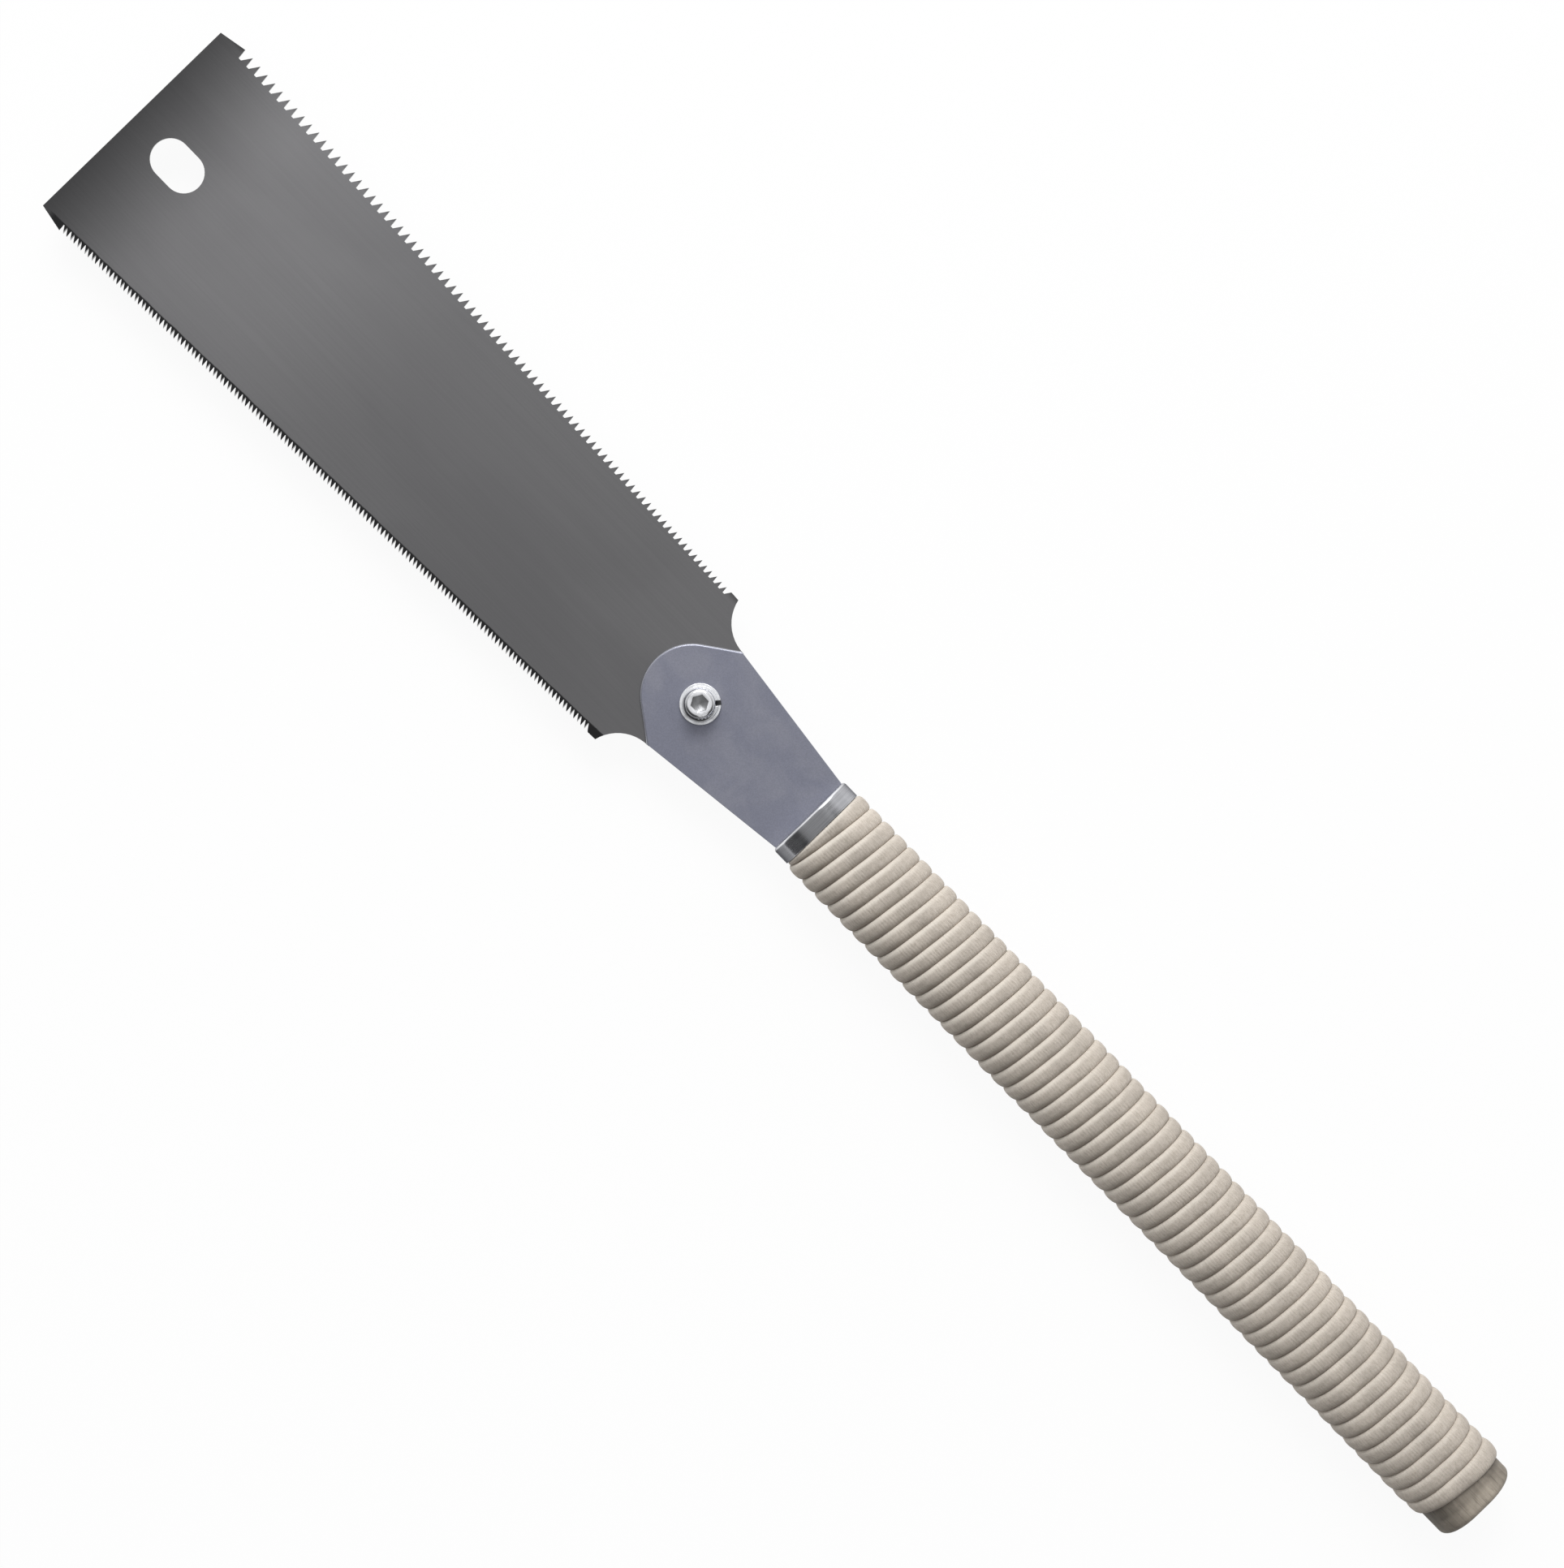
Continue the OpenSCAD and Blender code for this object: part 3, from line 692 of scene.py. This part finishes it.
def screw_rod(props):
    """A threaded rod, turned up from the profile of one turn."""
    root = props.thread_d / 2 - props.thread_depth
    bpy.ops.mesh.primitive_plane_add(size=props.pitch, rotation=(math.pi / 2, 0.0, 0.0))
    rod = added("screw_rod")
    set_down(rod)
    bpy.ops.object.mode_set(mode="EDIT")
    pick(rod, "VERT", lambda corner: corner.co.x > 0)
    bpy.ops.mesh.delete(type="VERT")
    bpy.ops.mesh.select_all(action="SELECT")
    bpy.ops.transform.translate(value=(props.pitch / 2 + root, 0.0, 0.0))
    bpy.ops.mesh.subdivide(number_cuts=3)
    pick(rod, "VERT", lambda corner: abs(corner.co.z) < 0.1 * props.pitch)
    bpy.ops.transform.translate(value=(props.thread_depth, 0.0, 0.0))
    bpy.ops.object.mode_set(mode="OBJECT")
    foot = SCREW_LOW.z
    top = HEAD_SEAT + props.bite
    turns = math.ceil((top - foot) / props.pitch) + 2
    apply_modifier(
        rod, "SCREW", "Thread", axis="Z", angle=math.tau, screw_offset=props.pitch, iterations=turns,
        steps=32, render_steps=32, use_merge_vertices=True, merge_threshold=MERGE,
    )
    rod.location = (PIVOT.x, PIVOT.y, foot - props.lead)
    set_down(rod)
    for height, clear_out, clear_in in ((foot, False, True), (top, True, False)):
        bpy.ops.object.mode_set(mode="EDIT")
        bpy.ops.mesh.select_all(action="SELECT")
        bpy.ops.mesh.bisect(
            plane_co=(PIVOT.x, PIVOT.y, height), plane_no=(0.0, 0.0, 1.0), use_fill=True,
            clear_inner=clear_in, clear_outer=clear_out, threshold=MERGE,
        )
        bpy.ops.object.mode_set(mode="OBJECT")
    bpy.ops.object.mode_set(mode="EDIT")
    bpy.ops.mesh.select_all(action="SELECT")
    bpy.ops.mesh.remove_doubles(threshold=MERGE)
    bpy.ops.mesh.normals_make_consistent(inside=False)
    bpy.ops.object.mode_set(mode="OBJECT")
    return rod


class SAW_OT_screw(Operator):
    """Models the clamp screw"""

    bl_idname = "pull_saw.screw"
    bl_label = "Clamp screw"

    def execute(self, context):
        props = context.scene.pull_saw.screw
        screw = screw_head(props)
        rod = screw_rod(props)
        apply_modifier(screw, "BOOLEAN", "Rod", operation="UNION", object=rod, solver="EXACT")
        bpy.data.objects.remove(rod)
        bpy.ops.object.shade_smooth_by_angle(angle=math.radians(32))
        zinc_finish(props).onto(screw)
        fit(screw, "screw", "bright_zinc", "clamp_screw")
        return {"FINISHED"}


class SAW_OT_washers(Operator):
    """Models the spring washer and the flat washer"""

    bl_idname = "pull_saw.washers"
    bl_label = "Washers"

    def execute(self, context):
        props = context.scene.pull_saw.screw
        finish = zinc_finish(props, "Zinc rings", slit=True)
        for kind in ("spring", "flat"):
            ring = eased_copy(f"{kind}_washer", f"{kind}_ring", props.edge)
            finish.onto(ring)
            fit(ring, "washers", "bright_zinc", f"{kind}_washer")
        return {"FINISHED"}


class SAW_OT_nut(Operator):
    """Models the nut on the rear cheek"""

    bl_idname = "pull_saw.nut"
    bl_label = "Nut"

    def execute(self, context):
        props = context.scene.pull_saw.screw
        nut = eased_copy("clamp_nut", "hex_nut", props.edge)
        zinc_finish(props).onto(nut)
        fit(nut, "handle", "bright_zinc", "clamp_nut")
        return {"FINISHED"}


class SAW_OT_ferrule(Operator):
    """Models the ferrule"""

    bl_idname = "pull_saw.ferrule"
    bl_label = "Ferrule"

    def execute(self, context):
        props = context.scene.pull_saw.ferrule
        cap = eased_copy("ferrule", "handle_cap", props.edge)
        ferrule_finish(props).onto(cap)
        fit(cap, "handle", "ferrule_steel", "ferrule")
        return {"FINISHED"}


class SAW_OT_core(Operator):
    """Finishes the wooden core"""

    bl_idname = "pull_saw.core"
    bl_label = "Core"

    def execute(self, context):
        core_finish(context.scene.pull_saw.core).onto(frame["nodes"]["handle_core"])
        return {"FINISHED"}


# The cord's way round the oval: three arc runs up, a flat, six arc runs down, a flat, three arc runs up
RUNS = 14
STEPS = 3
ARC = math.radians(30)
# Its section: places across it from the toe's side, and the share of the crown's rise there
SECTION = (
    (0.0, 0.0), (0.01, 0.16), (0.028, 0.36), (0.055, 0.55), (0.1, 0.71), (0.17, 0.84), (0.27, 0.94),
    (0.39, 1.0), (0.53, 1.0), (0.66, 0.95), (0.77, 0.86), (0.86, 0.71), (0.93, 0.5), (0.975, 0.25),
    (1.0, 0.0),
)
# Its unevenness, as (size, waves a turn) pairs: in thickness and along the handle
SEED = 7
SWELL = ((0.035 * MM, 0.37), (0.025 * MM, 1.13), (0.02 * MM, 3.1))
DRIFT = ((0.06 * MM, 0.07), (0.02 * MM, 1.04), (0.02 * MM, 2.95))
# Its ends: the share of the edge's thickness at the start, and the turns over which the tail stands out
THIN = 0.3
TAIL_TURNS = 1.2
TAIL_RISE = 0.5


def oval_place(turn, middle, radius):
    """Side and height of a point on the oval, and the direction that it faces, at a share of a turn."""
    run = turn % 1.0 * RUNS
    if 3 <= run < 4:
        return Vector(((2 * (run - 3) - 1) * middle, radius)), Vector((0.0, 1.0))
    if 10 <= run < 11:
        return Vector(((1 - 2 * (run - 10)) * middle, -radius)), Vector((0.0, -1.0))
    if run < 3:
        side, angle = -1, math.pi - run * ARC
    elif run < 10:
        side, angle = 1, math.pi / 2 - (run - 4) * ARC
    else:
        side, angle = -1, -math.pi / 2 - (run - 11) * ARC
    facing = Vector((math.cos(angle), math.sin(angle)))
    return Vector((side * middle, 0.0)) + radius * facing, facing


def wander(rng, waves):
    """A smooth seeded wobble, from (size, waves a turn) pairs."""
    tuned = [(size, rate, rng.uniform(0.0, math.tau)) for size, rate in waves]
    return lambda turn: sum(size * math.sin(math.tau * rate * turn + phase) for size, rate, phase in tuned)


def wind_cord(props):
    """One flat cord from the ferrule to the butt, as rings of one section carried round the oval."""
    rng = random.Random(SEED)
    swell = wander(rng, SWELL)
    drift = wander(rng, DRIFT)
    height = CORE_HIGH.z - CORE_LOW.z
    breadth = CORE_HIGH.y - CORE_LOW.y
    middle = (breadth - height) / 2
    inner = height / 2 + props.fit
    turns = math.floor((WRAP_HIGH.x - WRAP_LOW.x - props.start) / props.pitch * RUNS) / RUNS
    count = round(turns * RUNS * STEPS)
    points, reach = [], []
    run = 0.0
    last = None
    for k in range(count + 1):
        turn = k / (RUNS * STEPS)
        spot, facing = oval_place(turn, middle, inner)
        lean = props.lean_front + (props.lean_rear - props.lean_front) * turn / turns
        bow = props.bow * (1.0 - turn / turns) * spot.y / inner
        right = WRAP_LOW.x + props.start + turn * props.pitch + lean * spot.x / breadth + bow + drift(turn)
        left = max(right - props.width, WRAP_LOW.x)
        out = min(max(turn - turns + TAIL_TURNS, 0.0) / TAIL_RISE, 1.0)
        right += props.tail * out * 2 * spot.x / breadth
        crown = props.crown + swell(turn)
        full = (right - left) / props.width
        edge = props.edge * (THIN + (1 - THIN) * full)
        crown = edge + (crown - props.edge) * full
        centre = Vector(((left + right) / 2, *spot))
        run += (centre - last).length if last else 0.0
        last = centre
        reach.append(run)
        ring = [(0.0, 0.0), (1.0, 0.0)]
        ring += [(v, edge + (crown - edge) * rise) for v, rise in reversed(SECTION)]
        for v, rise in ring:
            place = spot + rise * facing
            points.append((left + v * (right - left), place.x, PIVOT.z + place.y))
    return points, reach, [v for v, _ in ring]


class SAW_OT_cord(Operator):
    """Winds the cord round the core"""

    bl_idname = "pull_saw.cord"
    bl_label = "Cord"

    def execute(self, context):
        props = context.scene.pull_saw.cord
        points, reach, across = wind_cord(props)
        size = len(across)
        faces, corners = [], []
        for k in range(len(reach) - 1):
            for j in range(size):
                n = (j + 1) % size
                faces.append((k * size + j, (k + 1) * size + j, (k + 1) * size + n, k * size + n))
                corners += [(reach[k], across[j]), (reach[k + 1], across[j]),
                            (reach[k + 1], across[n]), (reach[k], across[n])]
        for k, order in ((0, 1), (len(reach) - 1, -1)):
            faces.append(tuple(k * size + j for j in range(size))[::order])
            corners += [(reach[k], v) for v in across][::order]
        mesh = bpy.data.meshes.new("wound_cord")
        mesh.from_pydata(points, [], faces)
        strip = mesh.uv_layers.new(name="strip")
        for corner, place in zip(strip.data, corners):
            corner.uv = place
        mesh.update()
        cord = bpy.data.objects.new("wound_cord", mesh)
        bpy.context.scene.collection.objects.link(cord)
        activate(cord)
        bpy.ops.object.mode_set(mode="EDIT")
        bpy.ops.mesh.select_all(action="SELECT")
        bpy.ops.mesh.normals_make_consistent(inside=False)
        bpy.ops.object.mode_set(mode="OBJECT")
        bpy.ops.object.shade_smooth_by_angle(angle=math.radians(50))
        cord_finish(props).onto(cord)
        fit(cord, "handle", "cord", "cord_wrap")
        return {"FINISHED"}


# Where the studio is palest, and its tone there and opposite, over the cosine of the angle to that side
PALE_SIDE = (-0.717, 0.697, 0.0)
PALE_RANGE = {"From Min": -0.55, "From Max": 0.95, "To Min": 0.085, "To Max": 0.91}
# The lamps' sizes and places, in metres
LAMPS = {
    "key": (1.0, (-0.95, 0.92, 1.25)),
    "fill": (1.2, (1.15, -0.7, 1.5)),
    "top": (2.0, (0.0, 0.0, 2.2)),
}


class SAW_OT_stage(Operator):
    """Sets the floor, the lamps, the surroundings and the camera"""

    bl_idname = "pull_saw.stage"
    bl_label = "Stage"

    def execute(self, context):
        props = context.scene.pull_saw.stage
        scene = context.scene
        scene.view_settings.view_transform = "Standard"
        self.set_floor(props)
        self.set_surroundings(scene)
        self.set_lamps(props)
        self.set_camera(scene, props)
        return {"FINISHED"}

    def set_floor(self, props):
        """A broad pale floor: white to the eye, with the saw's soft shadow kept."""
        bpy.ops.object.select_all(action="DESELECT")
        bpy.ops.mesh.primitive_circle_add(
            vertices=96, radius=props.reach, fill_type="NGON", location=(0.0, 0.0, -props.clear),
        )
        floor = added("floor")
        set_down(floor)
        material = bpy.data.materials.new("Pale floor")
        material.use_nodes = True
        nodes, links = material.node_tree.nodes, material.node_tree.links
        nodes.remove(nodes["Principled BSDF"])
        matte = nodes.new("ShaderNodeBsdfDiffuse")
        matte.inputs["Color"].default_value = opaque(props.floor)
        glow = nodes.new("ShaderNodeEmission")
        glow.inputs["Strength"].default_value = 1.0
        path = nodes.new("ShaderNodeLightPath")
        seen = path.outputs["Is Camera Ray"]
        for ray in ("Is Glossy Ray", "Is Transmission Ray"):
            either = nodes.new("ShaderNodeMath")
            either.operation = "MAXIMUM"
            links.new(seen, either.inputs[0])
            links.new(path.outputs[ray], either.inputs[1])
            seen = either.outputs[0]
        part = nodes.new("ShaderNodeMath")
        part.operation = "MULTIPLY"
        part.inputs[1].default_value = props.glow
        links.new(seen, part.inputs[0])
        mixed = nodes.new("ShaderNodeMixShader")
        links.new(part.outputs[0], mixed.inputs["Fac"])
        links.new(matte.outputs[0], mixed.inputs[1])
        links.new(glow.outputs[0], mixed.inputs[2])
        links.new(mixed.outputs[0], nodes["Material Output"].inputs["Surface"])
        floor.data.materials.append(material)

    def set_surroundings(self, scene):
        """A soft studio: pale on the lamp's side and grey on the other."""
        world = bpy.data.worlds.new("Studio")
        scene.world = world
        world.use_nodes = True
        nodes, links = world.node_tree.nodes, world.node_tree.links
        coordinates = nodes.new("ShaderNodeTexCoord")
        toward = nodes.new("ShaderNodeVectorMath")
        toward.operation = "DOT_PRODUCT"
        toward.inputs[1].default_value = PALE_SIDE
        ramp = nodes.new("ShaderNodeMapRange")
        ramp.interpolation_type = "SMOOTHSTEP"
        for key, value in PALE_RANGE.items():
            ramp.inputs[key].default_value = value
        links.new(coordinates.outputs["Generated"], toward.inputs[0])
        links.new(toward.outputs["Value"], ramp.inputs["Value"])
        links.new(ramp.outputs[0], nodes["Background"].inputs["Color"])

    def set_lamps(self, props):
        powers = {"key": props.key_power, "fill": props.fill_power, "top": props.top_power}
        for name, (size, place) in LAMPS.items():
            light = bpy.data.lights.new(name, "AREA")
            light.energy = powers[name]
            light.size = size
            lamp = bpy.data.objects.new(name, light)
            bpy.context.scene.collection.objects.link(lamp)
            lamp.location = place
            lamp.rotation_euler = (-Vector(place)).to_track_quat("-Z", "Y").to_euler()

    def set_camera(self, scene, props):
        camera = bpy.data.cameras.new("Overhead")
        camera.sensor_width = 36.0
        camera.lens = camera.sensor_width * props.height / props.view
        eye = bpy.data.objects.new("Overhead", camera)
        scene.collection.objects.link(eye)
        eye.location = PIVOT + Vector((props.aim_x, props.aim_y, props.height))
        eye.rotation_euler = (0.0, 0.0, props.turn)
        scene.camera = eye


OPERATORS = (
    SAW_OT_stage, SAW_OT_blade, SAW_OT_head, SAW_OT_screw, SAW_OT_washers, SAW_OT_nut, SAW_OT_ferrule,
    SAW_OT_core, SAW_OT_cord,
)


class SAW_PT_pieces(Panel):
    """Lists the saw's pieces in the sidebar"""

    bl_label = "Pull Saw"
    bl_idname = "SAW_PT_pieces"
    bl_space_type = "VIEW_3D"
    bl_region_type = "UI"
    bl_category = "Pull Saw"

    def draw(self, context):
        for operator in OPERATORS:
            self.layout.operator(operator.bl_idname)


CLASSES = (
    BladeProps, HeadProps, ScrewProps, FerruleProps, CoreProps, CordProps, StageProps, SawProps,
    *OPERATORS, SAW_PT_pieces,
)


def register():
    for cls in CLASSES:
        bpy.utils.register_class(cls)
    bpy.types.Scene.pull_saw = PointerProperty(type=SawProps)


def unregister():
    del bpy.types.Scene.pull_saw
    for cls in reversed(CLASSES):
        bpy.utils.unregister_class(cls)


def main():
    register()
    bpy.ops.pull_saw.stage()
    bpy.ops.pull_saw.blade()
    bpy.ops.pull_saw.head()
    bpy.ops.pull_saw.screw()
    bpy.ops.pull_saw.washers()
    bpy.ops.pull_saw.nut()
    bpy.ops.pull_saw.ferrule()
    bpy.ops.pull_saw.core()
    bpy.ops.pull_saw.cord()


if __name__ == "__main__":
    main()
